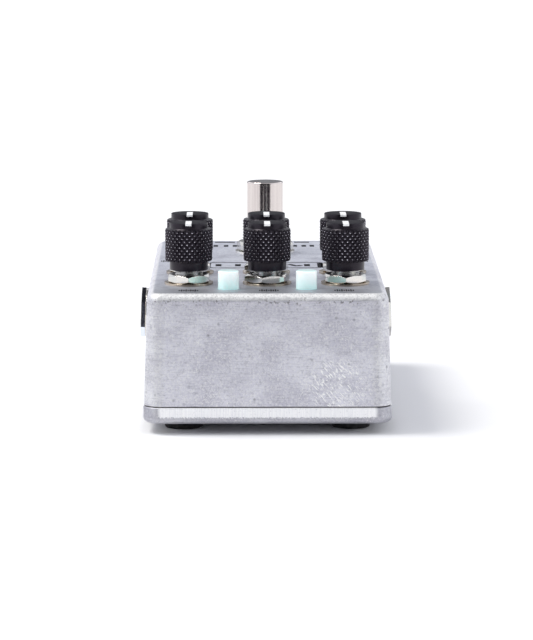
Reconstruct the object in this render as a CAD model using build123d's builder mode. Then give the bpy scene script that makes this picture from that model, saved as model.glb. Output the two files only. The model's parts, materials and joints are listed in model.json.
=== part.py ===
"""Guitar effects pedal: six knurled knobs, two LEDs, one footswitch and two side jacks.

Frame: millimetres, +Z up, origin on the surface that the pedal stands on, under the middle of
the enclosure. +Y runs along the enclosure, from the knob end to the footswitch end.
"""

import os
from math import atan, cos, degrees, radians, sin, sqrt, tan

from build123d import *

# ---- driving dimensions -------------------------------------------------------------------
# enclosure: the common 112 x 60 mm die-cast aluminium box
box_width = 60.5
box_length = 112.4
box_height = 31.8
lid_edge = 4.1  # height of the lid's rim
corner_radius = 4.5
wall = 2.2
side_taper = 0.85  # how far each side leans in, from the seam to the top
seam_step = 0.2  # how far the shell stands inside the lid's edge
top_rounding = 2.0

# rubber feet and lid screws
foot_height = 2.6
foot_radius = 4.75
foot_x, foot_y = 20.5, 43.5
screw_inset = 5.0
screw_radius = 1.75
screw_head_radius = 3.3
screw_length = 11.0
post_radius = 3.8

# knobs and pots: three columns by two rows
pot_columns = (-19.3, 0.0, 19.3)
pot_rows = (-36.0, -15.3)
knurl_radius = 5.85
knob_smooth_radius = 4.7
knob_height = 11.7
knob_lift = 3.55  # from the top plate to the knob's underside
skirt_height = 2.2
knurl_height = 8.0
shaft_radius = 3.0
shaft_clearance = 0.05
pot_thread_radius = 3.5
pot_thread_length = 6.4  # from the top plate's underside
pot_nut_flats = 10.0
pot_nut_height = 2.0
pot_washer_height = 0.5
pot_washer_radius = 6.0
pot_width, pot_depth = 9.6, 10.6
pot_case_height = 5.5
pot_flange = 1.2
pot_pin_width, pot_pin_thickness = 0.9, 0.4
shaft_cover = 3.0  # how much of the knob is solid over the shaft's end
set_screw_radius = 1.5
indicator_width = 1.5
indicator_depth = 0.5

# status LEDs
led_x, led_y = 9.5, -45.5
led_radius = 2.55
led_proud = 4.5

# footswitch
switch_y = 27.7
button_radius = 4.8
button_top = 19.0  # above the top plate
button_travel = 2.5
switch_thread_radius = 6.0
switch_thread_top = 9.0
switch_nut_flats = 14.0
switch_nut_height = 2.5
switch_inner_nut_height = 2.4
switch_washer_radius, switch_washer_height = 7.85, 0.6
switch_case_width = 17.2

# side jacks, 1/4 inch, square to the drafted walls
jack_y = -1.0
jack_height = 19.8  # above the lid's underside
jack_bore_radius = 3.25
jack_thread_radius = 4.5
jack_nut_flats = 11.0
jack_case_width, jack_case_height, jack_case_depth = 15.5, 12.6, 25.7

# DC inlet
dc_y = -30.0
dc_height = 14.8
dc_case_width, dc_case_height, dc_case_depth = 9.0, 11.0, 14.2
dc_nose_radius = 4.2

# main board, hung under the pots
board_thickness = 1.6
board_width = 52.0
board_end_y = -9.7
wire_radius = 0.55

# ---- worked out from them -----------------------------------------------------------------
lid_bottom = foot_height
seam = lid_bottom + lid_edge
plate_top = lid_bottom + box_height
plate_under = plate_top - wall
shell_height = box_height - lid_edge
draft_angle = degrees(atan(side_taper / shell_height))
shell_width = box_width - 2 * seam_step
shell_length = box_length - 2 * seam_step
board_top = plate_under - pot_flange - pot_case_height
board_under = board_top - board_thickness
knob_bottom = plate_top + knob_lift
knob_top = knob_bottom + knob_height
post_points = [
    (sx * (box_width / 2 - screw_inset), sy * (box_length / 2 - screw_inset))
    for sx in (-1, 1)
    for sy in (-1, 1)
]
pot_points = [(x, y) for y in pot_rows for x in pot_columns]
led_points = [(-led_x, led_y), (led_x, led_y)]
UP = Axis.Z


def upright_plane(x, y, z):
    """A plane facing the knob end, with its own X along +X and its own Y along +Z."""
    return Plane(origin=(x, y, z), x_dir=(1, 0, 0), z_dir=(0, -1, 0))


def wall_x(height):
    """Half width of the shell's outside at a height above the lid's underside."""
    return shell_width / 2 - side_taper * (height - lid_edge) / shell_height


def side_plane(side, y, height):
    """A plane on a drafted side wall, facing out, with its own X along +Y or -Y."""
    tilt = radians(draft_angle)
    return Plane(
        origin=(side * wall_x(height), y, lid_bottom + height),
        x_dir=(0, side, 0),
        z_dir=(side * cos(tilt), 0, sin(tilt)),
    )


jack_planes = {
    "output": side_plane(-1, jack_y, jack_height),
    "input": side_plane(1, jack_y, jack_height),
}
dc_plane = side_plane(1, dc_y, dc_height)

os.makedirs("parts", exist_ok=True)


def save(part, name):
    """Label a finished piece and write it as parts/NAME.step."""
    part.label = name
    export_step(part, f"parts/{name}.step")


def make_hex_nut(flats, height, bore_radius):
    """A hexagon nut standing on the XY plane, with both faces turned down at the corners."""
    corner = flats / sqrt(3)
    turned_face = flats / 2 - 0.15
    turned_drop = (corner - turned_face) * tan(radians(30))
    with BuildPart() as nut:
        with BuildSketch():
            RegularPolygon(radius=flats / 2, side_count=6, major_radius=False, rotation=30)
            Circle(bore_radius, mode=Mode.SUBTRACT)
        extrude(amount=height)
        with BuildSketch(Plane.XZ):
            with BuildLine():
                Polyline(
                    (0, 0),
                    (turned_face, 0),
                    (corner, turned_drop),
                    (corner, height - turned_drop),
                    (turned_face, height),
                    (0, height),
                    close=True,
                )
            make_face()
        revolve(axis=Axis.Z, mode=Mode.INTERSECT)
    return nut.part


# ---- enclosure ----------------------------------------------------------------------------
def make_shell():
    """The die-cast box, open underneath, with its screw posts and every drilled hole."""
    seam_plane = Plane.XY.offset(seam)
    with BuildPart() as shell:
        with BuildSketch(seam_plane):
            RectangleRounded(shell_width, shell_length, corner_radius - seam_step)
        extrude(amount=shell_height, taper=draft_angle)
        fillet(shell.faces().sort_by(UP)[-1].edges(), top_rounding)
        chamfer(shell.faces().sort_by(UP)[0].edges(), 0.25)
        with BuildSketch(seam_plane):
            RectangleRounded(shell_width - 2 * wall, shell_length - 2 * wall, corner_radius - wall)
        extrude(amount=shell_height - wall, taper=draft_angle, mode=Mode.SUBTRACT)
        with BuildSketch(seam_plane):
            with Locations(*post_points):
                Circle(post_radius)
        extrude(amount=shell_height - wall)
        with BuildSketch(seam_plane):
            with Locations(*post_points):
                Circle(screw_radius)
        extrude(amount=screw_length + 1, mode=Mode.SUBTRACT)
        with BuildSketch(Plane.XY.offset(plate_under - 1)):
            with Locations(*pot_points):
                Circle(pot_thread_radius + 0.1)
            with Locations(*led_points):
                Circle(led_radius + 0.15)
            with Locations((0, switch_y)):
                Circle(switch_thread_radius + 0.1)
        extrude(amount=wall + 2, mode=Mode.SUBTRACT)
        for plane in jack_planes.values():
            with BuildSketch(plane.offset(-wall - 1)):
                Circle(jack_thread_radius + 0.1)
            extrude(amount=wall + 2, mode=Mode.SUBTRACT)
        with BuildSketch(dc_plane.offset(-wall - 1)):
            Circle(dc_nose_radius + 0.2)
        extrude(amount=wall + 2, mode=Mode.SUBTRACT)
    return shell.part


def make_base_lid():
    """The lid: a rimmed plate with a locating lip and four countersunk screw holes."""
    floor = 2.0
    lip_height = 1.0
    lip_gap = 0.2
    lip_width = 1.5
    lip_outer = (shell_width - 2 * (wall + lip_gap), shell_length - 2 * (wall + lip_gap))
    boss_radius = post_radius + 0.4
    with BuildPart() as lid:
        with BuildSketch(Plane.XY.offset(lid_bottom)):
            RectangleRounded(box_width, box_length, corner_radius)
        extrude(amount=lid_edge)
        fillet(lid.faces().sort_by(UP)[0].edges(), 1.5)
        fillet(lid.faces().sort_by(UP)[-1].edges(), 0.3)
        with BuildSketch(Plane.XY.offset(seam)):
            RectangleRounded(*lip_outer, corner_radius - wall - lip_gap)
            with Locations(*post_points):
                Circle(boss_radius, mode=Mode.SUBTRACT)
        extrude(amount=lip_height)
        with BuildSketch(Plane.XY.offset(lid_bottom + floor)):
            RectangleRounded(lip_outer[0] - 2 * lip_width, lip_outer[1] - 2 * lip_width, 1.0)
            with Locations(*post_points):
                Circle(boss_radius + 0.6, mode=Mode.SUBTRACT)
        extrude(amount=lid_edge, mode=Mode.SUBTRACT)
        with Locations(*[Plane(origin=(x, y, lid_bottom), z_dir=(0, 0, -1)) for x, y in post_points]):
            CounterSinkHole(
                radius=screw_radius + 0.15,
                counter_sink_radius=screw_head_radius + 0.1,
                depth=lid_edge + 2,
                counter_sink_angle=90,
            )
    return lid.part


def make_lid_screws():
    """Four countersunk machine screws with cross recesses."""
    head_bottom = lid_bottom + 0.1
    head_height = screw_head_radius - screw_radius
    with BuildPart() as screws:
        for x, y in post_points:
            with BuildSketch(upright_plane(x, y, head_bottom)):
                with BuildLine():
                    Polyline(
                        (0, 0),
                        (screw_head_radius, 0),
                        (screw_radius, head_height),
                        (screw_radius, screw_length - 0.5),
                        (screw_radius - 0.5, screw_length),
                        (0, screw_length),
                        close=True,
                    )
                make_face()
            revolve(axis=Axis((x, y, 0), (0, 0, 1)))
        with BuildSketch(Plane.XY.offset(head_bottom)):
            with Locations(*post_points):
                Rectangle(3.6, 0.8)
                Rectangle(0.8, 3.6)
        extrude(amount=1.2, mode=Mode.SUBTRACT)
    return screws.part


def make_rubber_feet():
    """Four stick-on rubber feet, rounded where they meet the floor."""
    with BuildPart() as feet:
        with BuildSketch():
            with GridLocations(2 * foot_x, 2 * foot_y, 2, 2):
                Circle(foot_radius)
        extrude(amount=foot_height)
        fillet(feet.edges().group_by(UP)[0], 0.6)
    return feet.part


save(make_shell(), "enclosure_shell")
save(make_base_lid(), "base_lid")
save(make_lid_screws(), "lid_screws")
save(make_rubber_feet(), "rubber_feet")


# ---- knobs, one set for each pot ----------------------------------------------------------
def make_indicator(x, y):
    """The white pointer line inlaid in a knob's flat top, open at the rim."""
    past_middle = 2.2
    with BuildPart() as indicator:
        with BuildSketch(Plane.XY.offset(knob_top - indicator_depth)):
            with Locations((x, y)):
                Circle(knob_smooth_radius)
            with Locations((x, y + past_middle)):
                Rectangle(
                    indicator_width,
                    2 * knob_smooth_radius,
                    align=(Align.CENTER, Align.MAX),
                    mode=Mode.INTERSECT,
                )
        extrude(amount=indicator_depth)
    return indicator.part


def make_knob(x, y, indicator):
    """A turned knob: smooth skirt, knurled grip and smooth cap, bored for its shaft."""
    grip_top = skirt_height + knurl_height
    thread_clear = pot_thread_radius + 0.5
    bore_depth = knob_height - shaft_cover
    collar_depth = 1.6
    corner = 0.4
    with BuildPart() as knob:
        with BuildSketch(upright_plane(x, y, knob_bottom)):
            with BuildLine():
                Polyline(
                    (shaft_radius, bore_depth),
                    (shaft_radius, collar_depth),
                    (thread_clear, collar_depth),
                    (thread_clear, 0),
                    (knob_smooth_radius, 0),
                    (knob_smooth_radius, skirt_height),
                    (knurl_radius - corner, skirt_height),
                    (knurl_radius, skirt_height + corner),
                    (knurl_radius, grip_top - corner),
                    (knurl_radius - corner, grip_top),
                    (knob_smooth_radius, grip_top),
                    (knob_smooth_radius, knob_height),
                    (0, knob_height),
                    (0, bore_depth),
                    close=True,
                )
            make_face()
        revolve(axis=Axis((x, y, 0), (0, 0, 1)))
        add(indicator, mode=Mode.SUBTRACT)
        with BuildSketch(set_screw_plane(x, y)):
            Circle(set_screw_radius)
        extrude(amount=knurl_radius, mode=Mode.SUBTRACT)
    return knob.part


def set_screw_plane(x, y):
    """A plane on the shaft's surface, facing the footswitch end at half the grip's height."""
    height = knob_bottom + skirt_height + knurl_height / 2
    return Plane(origin=(x, y + shaft_radius, height), x_dir=(-1, 0, 0), z_dir=(0, 1, 0))


def make_set_screw(x, y):
    """A slotted grub screw that bears on the shaft, hidden at the knob's back."""
    length = 2.4
    slot_width, slot_depth = 0.5, 0.7
    with BuildPart() as set_screw:
        with BuildSketch(set_screw_plane(x, y)):
            Circle(set_screw_radius)
        extrude(amount=length)
        with BuildSketch(set_screw_plane(x, y).offset(length - slot_depth)):
            Rectangle(2 * set_screw_radius, slot_width)
        extrude(amount=slot_depth, mode=Mode.SUBTRACT)
    return set_screw.part


def make_pot_shaft(x, y):
    """The pot's 6 mm shaft with the rotor disc at its foot."""
    rotor_bottom = board_top + 1.4
    rotor_height = 1.2
    rotor_radius = 3.8
    end_chamfer = 0.5
    top = knob_top - shaft_cover - rotor_bottom
    with BuildPart() as shaft:
        with BuildSketch(upright_plane(x, y, rotor_bottom)):
            with BuildLine():
                Polyline(
                    (0, 0),
                    (rotor_radius, 0),
                    (rotor_radius, rotor_height),
                    (shaft_radius, rotor_height),
                    (shaft_radius, top - end_chamfer),
                    (shaft_radius - end_chamfer, top),
                    (0, top),
                    close=True,
                )
            make_face()
        revolve(axis=Axis((x, y, 0), (0, 0, 1)))
    return shaft.part


for number, (pot_x, pot_y) in enumerate(pot_points, start=1):
    pointer = make_indicator(pot_x, pot_y)
    save(make_knob(pot_x, pot_y, pointer), f"knob_{number}")
    save(pointer, f"knob_indicator_{number}")
    save(make_set_screw(pot_x, pot_y), f"knob_set_screw_{number}")
    save(make_pot_shaft(pot_x, pot_y), f"pot_shaft_{number}")


# ---- pots ---------------------------------------------------------------------------------
def make_pot_bushings():
    """Front plates of the pots, each with its threaded bushing up through the top plate."""
    with BuildPart() as bushings:
        with BuildSketch(Plane.XY.offset(plate_under - pot_flange)):
            with Locations(*pot_points):
                Rectangle(pot_width, pot_depth)
        extrude(amount=pot_flange)
        with BuildSketch(Plane.XY.offset(plate_under)):
            with Locations(*pot_points):
                Circle(pot_thread_radius)
        extrude(amount=pot_thread_length)
        with BuildSketch(Plane.XY.offset(plate_under - pot_flange)):
            with Locations(*pot_points):
                Circle(shaft_radius + shaft_clearance)
        extrude(amount=pot_flange + pot_thread_length, mode=Mode.SUBTRACT)
    return bushings.part


def make_pot_cases():
    """Moulded pot bodies, hollow for the rotor."""
    floor = 1.0
    hollow_radius = 4.1
    with BuildPart() as cases:
        with BuildSketch(Plane.XY.offset(board_top)):
            with Locations(*pot_points):
                Rectangle(pot_width, pot_depth)
        extrude(amount=pot_case_height)
        with BuildSketch(Plane.XY.offset(board_top + floor)):
            with Locations(*pot_points):
                Circle(hollow_radius)
        extrude(amount=pot_case_height, mode=Mode.SUBTRACT)
    return cases.part


def terminal_points():
    """Where the three pins of each pot go through the board."""
    pitch = 2.5
    behind_shaft = 4.4
    return [(x + pin * pitch, y - behind_shaft) for x, y in pot_points for pin in (-1, 0, 1)]


def make_pot_terminals():
    """Three solder pins under each pot, through the board."""
    below_board = 1.2
    with BuildPart() as terminals:
        with BuildSketch(Plane.XY.offset(board_under - below_board)):
            with Locations(*terminal_points()):
                Rectangle(pot_pin_width, pot_pin_thickness)
        extrude(amount=board_thickness + below_board)
    return terminals.part


def make_pot_washers():
    """Flat washers under the pot nuts."""
    with BuildPart() as washers:
        with BuildSketch(Plane.XY.offset(plate_top)):
            with Locations(*pot_points):
                Circle(pot_washer_radius)
                Circle(pot_thread_radius + 0.15, mode=Mode.SUBTRACT)
        extrude(amount=pot_washer_height)
    return washers.part


def make_pot_nuts():
    """Six nuts; the middle column sits turned from the others, as hand-tightened nuts do."""
    turn_of_column = {pot_columns[0]: 0, pot_columns[1]: -14, pot_columns[2]: 0}
    blank = make_hex_nut(pot_nut_flats, pot_nut_height, pot_thread_radius + 0.05)
    with BuildPart() as nuts:
        for x, y in pot_points:
            with Locations(Location((x, y, plate_top + pot_washer_height), (0, 0, turn_of_column[x]))):
                add(blank)
    return nuts.part


save(make_pot_bushings(), "pot_bushings")
save(make_pot_cases(), "pot_cases")
save(make_pot_terminals(), "pot_terminals")
save(make_pot_washers(), "pot_washers")
save(make_pot_nuts(), "pot_nuts")


# ---- status LEDs --------------------------------------------------------------------------
lead_offset = 1.27
lead_side = 0.5
lead_points = [(x + side * lead_offset, y) for x, y in led_points for side in (-1, 1)]
led_bottom = plate_under - 2.1


def make_led(x, y):
    """A flat-topped 5 mm LED, with its flange under the top plate."""
    flange_height, flange_overhang = 1.0, 0.4
    with BuildPart() as led:
        with BuildSketch(Plane.XY.offset(led_bottom)):
            with Locations((x, y)):
                Circle(led_radius)
        extrude(amount=plate_top + led_proud - led_bottom)
        fillet(led.faces().sort_by(UP)[-1].edges(), 0.4)
        with BuildSketch(Plane.XY.offset(led_bottom)):
            with Locations((x, y)):
                Circle(led_radius + flange_overhang)
        extrude(amount=flange_height)
    return led.part


def make_led_leads():
    """Two square leads from each LED down through the board."""
    end = board_under - 1.0
    with BuildPart() as leads:
        with BuildSketch(Plane.XY.offset(end)):
            with Locations(*lead_points):
                Rectangle(lead_side, lead_side)
        extrude(amount=led_bottom - end)
    return leads.part


save(make_led(-led_x, led_y), "led_left")
save(make_led(led_x, led_y), "led_right")
save(make_led_leads(), "led_leads")

# ---- footswitch ---------------------------------------------------------------------------
frame_top = plate_under - 2.7
frame_thickness = 0.6
case_top = frame_top - frame_thickness
case_bottom = case_top - 12.8
button_shoulder = frame_top + button_travel + 0.3
stem_radius = 2.4
stem_bottom = case_top - 4.9
well_radius = 3.2
well_bottom = stem_bottom - 6.0
lug_length = 4.0
switch_board_top = case_bottom - lug_length + board_thickness
lug_pitch_x, lug_pitch_y = 5.3, 4.8
lug_width, lug_thickness = 1.8, 0.8
lug_points = [
    (column * lug_pitch_x, switch_y + row * lug_pitch_y)
    for column in (-1, 0, 1)
    for row in (-1, 0, 1)
]


def make_footswitch_bushing():
    """The threaded bushing that the button slides in."""
    height = plate_top + switch_thread_top - frame_top
    with BuildPart() as bushing:
        with BuildSketch(Plane.XY.offset(frame_top)):
            with Locations((0, switch_y)):
                Circle(switch_thread_radius)
                Circle(button_radius + shaft_clearance, mode=Mode.SUBTRACT)
        extrude(amount=height)
        chamfer(bushing.faces().sort_by(UP)[-1].outer_wire().edges(), 0.4)
    return bushing.part


def make_footswitch_button():
    """The push button with its actuator stem."""
    top = plate_top + button_top
    with BuildPart() as button:
        with BuildSketch(upright_plane(0, switch_y, 0)):
            with BuildLine():
                Polyline(
                    (0, stem_bottom),
                    (stem_radius, stem_bottom),
                    (stem_radius, button_shoulder),
                    (button_radius, button_shoulder),
                    (button_radius, top),
                    (0, top),
                    close=True,
                )
            make_face()
        revolve(axis=Axis((0, switch_y, 0), (0, 0, 1)))
        fillet(button.faces().sort_by(UP)[-1].edges(), 0.45)
    return button.part


def make_footswitch_frame():
    """A bent steel frame: a top with two straps that clamp the case."""
    strap_width, strap_drop = 8.0, 11.0
    width = switch_case_width + 2 * frame_thickness
    with BuildPart() as frame:
        with BuildSketch(Plane.XY.offset(case_top)):
            with Locations((0, switch_y)):
                Rectangle(width, switch_case_width)
                Circle(stem_radius + 0.4, mode=Mode.SUBTRACT)
        extrude(amount=frame_thickness)
        with BuildSketch(Plane.XY.offset(case_top - strap_drop)):
            with Locations(*[(side * (width - frame_thickness) / 2, switch_y) for side in (-1, 1)]):
                Rectangle(frame_thickness, strap_width)
        extrude(amount=strap_drop)
    return frame.part


def make_footswitch_case():
    """The moulded contact case, hollow for the stem and its spring."""
    with BuildPart() as case:
        with BuildSketch(Plane.XY.offset(case_bottom)):
            with Locations((0, switch_y)):
                Rectangle(switch_case_width, switch_case_width)
        extrude(amount=case_top - case_bottom)
        with BuildSketch(Plane.XY.offset(well_bottom)):
            with Locations((0, switch_y)):
                Circle(well_radius)
        extrude(amount=case_top - well_bottom, mode=Mode.SUBTRACT)
    return case.part


def make_footswitch_spring():
    """The return spring under the stem: a coil of round wire."""
    coil_radius = 1.9
    coil_wire = 0.25
    turns = 5
    end_gap = 0.05
    height = stem_bottom - well_bottom - 2 * (coil_wire + end_gap)
    with BuildPart() as spring:
        with BuildLine():
            coil = Helix(
                pitch=height / turns,
                height=height,
                radius=coil_radius,
                center=(0, switch_y, well_bottom + coil_wire + end_gap),
            )
        with BuildSketch(Plane(origin=coil @ 0, z_dir=coil % 0)):
            Circle(coil_wire)
        sweep(path=coil, is_frenet=True)
    return spring.part


def make_footswitch_lugs():
    """Nine solder lugs in three rows of three."""
    with BuildPart() as lugs:
        with BuildSketch(Plane.XY.offset(case_bottom - lug_length)):
            with Locations(*lug_points):
                Rectangle(lug_width, lug_thickness)
        extrude(amount=lug_length)
    return lugs.part


def make_footswitch_board():
    """The small wiring board on the switch's lugs."""
    side = 20.0
    with BuildPart() as board:
        with BuildSketch(Plane.XY.offset(switch_board_top - board_thickness)):
            with Locations((0, switch_y)):
                Rectangle(side, side)
            with Locations(*lug_points):
                Rectangle(lug_width + 0.4, lug_thickness + 0.4, mode=Mode.SUBTRACT)
        extrude(amount=board_thickness)
    return board.part


def make_footswitch_washer():
    """The dress washer on the top plate."""
    with BuildPart() as washer:
        with BuildSketch(Plane.XY.offset(plate_top)):
            with Locations((0, switch_y)):
                Circle(switch_washer_radius)
                Circle(switch_thread_radius + 0.15, mode=Mode.SUBTRACT)
        extrude(amount=switch_washer_height)
    return washer.part


def make_footswitch_nut(bottom, height, turn):
    """One of the two nuts that clamp the top plate between them."""
    with BuildPart() as nut:
        with Locations(Location((0, switch_y, bottom), (0, 0, turn))):
            add(make_hex_nut(switch_nut_flats, height, switch_thread_radius + 0.05))
    return nut.part


save(make_footswitch_bushing(), "footswitch_bushing")
save(make_footswitch_button(), "footswitch_button")
save(make_footswitch_frame(), "footswitch_frame")
save(make_footswitch_case(), "footswitch_case")
save(make_footswitch_spring(), "footswitch_spring")
save(make_footswitch_lugs(), "footswitch_lugs")
save(make_footswitch_board(), "footswitch_board")
save(make_footswitch_washer(), "footswitch_washer")
save(
    make_footswitch_nut(plate_top + switch_washer_height, switch_nut_height, turn=8),
    "footswitch_nut",
)
save(
    make_footswitch_nut(plate_under - switch_inner_nut_height, switch_inner_nut_height, turn=0),
    "footswitch_inner_nut",
)

# ---- side jacks ---------------------------------------------------------------------------
jack_flange = 1.0
jack_collar_radius = 6.2  # of the flange inside the wall and of the washer outside it
jack_washer_height = 1.3
jack_nut_height = 1.3
case_face = -wall - jack_flange  # the case's face, along the jack's axis from the wall
case_rear = case_face - jack_case_depth
leaf_lift = 4.7  # the tip contact's height over the jack's axis


def make_jack_bushing(plane):
    """A threaded bushing with a flange inside the wall, bored for a 1/4 inch plug."""
    thread_end = jack_washer_height + jack_nut_height - 0.2
    with BuildPart() as bushing:
        with BuildSketch(plane.offset(case_face)):
            Circle(jack_collar_radius)
        extrude(amount=jack_flange)
        with BuildSketch(plane.offset(-wall)):
            Circle(jack_thread_radius)
        extrude(amount=wall + thread_end)
        with BuildSketch(plane.offset(case_face)):
            Circle(jack_bore_radius)
        extrude(amount=jack_flange + wall + thread_end, mode=Mode.SUBTRACT)
    return bushing.part


def make_jack_case(plane):
    """The moulded jack case, closed at the rear, grooved above and below for its contacts."""
    plug_clear = 4.0
    rear_wall = 0.7
    groove_width, groove_depth = 3.4, 2.6
    groove_lift = jack_case_height / 2 - groove_depth / 2 + 0.2
    with BuildPart() as case:
        with BuildSketch(plane.offset(case_rear)):
            Rectangle(jack_case_width, jack_case_height)
        extrude(amount=jack_case_depth)
        with BuildSketch(plane.offset(case_rear + rear_wall)):
            Circle(plug_clear)
            with Locations((0, groove_lift), (0, -groove_lift)):
                Rectangle(groove_width, groove_depth)
        extrude(amount=jack_case_depth, mode=Mode.SUBTRACT)
    return case.part


def make_jack_contacts():
    """For each jack a tip leaf above the bore and a sleeve strip below it."""
    strip_length, strip_width, strip_thickness = 18.0, 2.8, 0.5
    from_rear = 1.2
    with BuildPart() as contacts:
        for plane in jack_planes.values():
            with BuildSketch(plane.offset(case_rear + from_rear)):
                with Locations((0, leaf_lift), (0, -leaf_lift)):
                    Rectangle(strip_width, strip_thickness)
            extrude(amount=strip_length)
    return contacts.part


def make_jack_washers():
    """Flat washers on the two side walls."""
    with BuildPart() as washers:
        for plane in jack_planes.values():
            with BuildSketch(plane):
                Circle(jack_collar_radius)
                Circle(jack_thread_radius + 0.1, mode=Mode.SUBTRACT)
            extrude(amount=jack_washer_height)
    return washers.part


def make_jack_nuts():
    """Two nuts, each with a corner pointing up."""
    blank = make_hex_nut(jack_nut_flats, jack_nut_height, jack_thread_radius + 0.05)
    with BuildPart() as nuts:
        with Locations(*[plane.offset(jack_washer_height) for plane in jack_planes.values()]):
            add(blank)
    return nuts.part


for jack_name, jack_plane in jack_planes.items():
    save(make_jack_bushing(jack_plane), f"{jack_name}_jack_bushing")
    save(make_jack_case(jack_plane), f"{jack_name}_jack_case")
save(make_jack_contacts(), "jack_contacts")
save(make_jack_washers(), "jack_washers")
save(make_jack_nuts(), "jack_nuts")

# ---- DC inlet -----------------------------------------------------------------------------
dc_front = -wall - 0.6
dc_nose = -0.4
dc_bore_radius = 3.0
dc_bore_depth = 9.5
dc_pin_radius = 1.05
dc_pin_inset = 1.0


def make_dc_housing():
    """The inlet's moulded housing, hung under the main board, with a round nose in the wall."""
    box_front = wall_x(lid_edge) - wall - 0.9
    box_centre_z = board_under - dc_case_height / 2
    with BuildPart() as housing:
        with BuildSketch(Plane(origin=(box_front, dc_y, box_centre_z), x_dir=(0, 1, 0), z_dir=(-1, 0, 0))):
            Rectangle(dc_case_width, dc_case_height)
        extrude(amount=dc_case_depth)
        with BuildSketch(dc_plane.offset(dc_front - 2)):
            Circle(dc_nose_radius)
        extrude(amount=2 + dc_nose - dc_front)
        with BuildSketch(dc_plane.offset(dc_nose - dc_bore_depth)):
            Circle(dc_bore_radius)
        extrude(amount=dc_bore_depth, mode=Mode.SUBTRACT)
    return housing.part


def make_dc_pin():
    """The centre pin, ending just inside the mouth."""
    with BuildPart() as pin:
        with BuildSketch(dc_plane.offset(dc_nose - dc_bore_depth)):
            Circle(dc_pin_radius)
        extrude(amount=dc_bore_depth - dc_pin_inset)
        fillet(pin.faces().sort_by(Axis.X)[-1].edges(), 0.4)
    return pin.part


save(make_dc_housing(), "dc_jack_housing")
save(make_dc_pin(), "dc_jack_pin")


# ---- main circuit board -------------------------------------------------------------------
def make_main_board():
    """The board under the pots, with a narrower tab between the screw posts for the LEDs."""
    shoulder_y = -46.0
    tab_end_y = -52.0
    tab_width = 39.0
    pin_hole_radius, lead_hole_radius = 0.6, 0.5
    with BuildPart() as board:
        with BuildSketch(Plane.XY.offset(board_under)):
            with Locations((0, shoulder_y)):
                Rectangle(board_width, board_end_y - shoulder_y, align=(Align.CENTER, Align.MIN))
                Rectangle(tab_width, shoulder_y - tab_end_y, align=(Align.CENTER, Align.MAX))
            with Locations(*terminal_points()):
                Circle(pin_hole_radius, mode=Mode.SUBTRACT)
            with Locations(*lead_points):
                Circle(lead_hole_radius, mode=Mode.SUBTRACT)
        extrude(amount=board_thickness)
    return board.part


def make_chips():
    """A 16-pin and an 8-pin chip under the board."""
    chip_width, chip_height, gap, chip_y = 6.4, 3.3, 0.4, -30.0
    pin_pitch, pin_length = 2.54, 2.0
    pin_width, pin_thickness = 0.5, 0.3
    with BuildPart() as chips:
        for x, pins_a_side in ((-2.0, 8), (-19.5, 4)):
            with BuildSketch(Plane.XY.offset(board_under - gap - chip_height)):
                with Locations((x, chip_y)):
                    Rectangle(pins_a_side * pin_pitch - 0.4, chip_width)
            extrude(amount=chip_height)
            with BuildSketch(Plane.XY.offset(board_under - pin_length)):
                with Locations((x, chip_y)):
                    with GridLocations(pin_pitch, chip_width + pin_thickness, pins_a_side, 2):
                        Rectangle(pin_width, pin_thickness)
            extrude(amount=pin_length)
    return chips.part


def make_capacitors():
    """Four round electrolytic cans and four box film capacitors under the board."""
    can_radius, can_height, can_y = 2.5, 7.0, -36.2
    film_length, film_width, film_height, film_y = 7.2, 2.5, 6.5, -23.6
    with BuildPart() as capacitors:
        with BuildSketch(Plane.XY.offset(board_under - can_height)):
            with Locations(*[(x, can_y) for x in (-20.0, -12.0, -4.0, 4.0)]):
                Circle(can_radius)
        extrude(amount=can_height)
        with BuildSketch(Plane.XY.offset(board_under - film_height)):
            with Locations(*[(x, film_y) for x in (-20.0, -10.0, 0.0, 10.0)]):
                Rectangle(film_length, film_width)
        extrude(amount=film_height)
    return capacitors.part


def make_resistors():
    """Axial resistors lying along X under the board."""
    body_radius, body_length = 1.15, 6.3
    rear_row = [(x, -14.6) for x in (-22.0, -13.5, 13.5, 22.0)]
    front_row = [(x, -43.2) for x in (-18.0, 0.0, 18.0)]
    with BuildPart() as resistors:
        for x, y in rear_row + front_row:
            with BuildSketch(Plane.YZ.offset(x - body_length / 2)):
                with Locations((y, board_under - body_radius)):
                    Circle(body_radius)
            extrude(amount=body_length)
    return resistors.part


save(make_main_board(), "main_circuit_board")
save(make_chips(), "circuit_chips")
save(make_capacitors(), "circuit_capacitors")
save(make_resistors(), "circuit_resistors")


# ---- wiring -------------------------------------------------------------------------------
def make_wire(points):
    """An insulated wire along straight runs joined by tangent arcs."""
    lengths = [(Vector(*b) - Vector(*a)).length for a, b in zip(points, points[1:])]
    radii = []
    for before, corner, after, short in zip(
        points, points[1:], points[2:], map(min, lengths, lengths[1:])
    ):
        turn = (Vector(*corner) - Vector(*before)).get_angle(Vector(*after) - Vector(*corner))
        radii.append(0.45 * short / tan(radians(turn / 2)))
    with BuildPart() as wire:
        with BuildLine():
            route = FilletPolyline(*points, radius=radii)
        with BuildSketch(Plane(origin=route @ 0, z_dir=route % 0)):
            Circle(wire_radius)
        sweep(path=route)
    return wire.part


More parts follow.
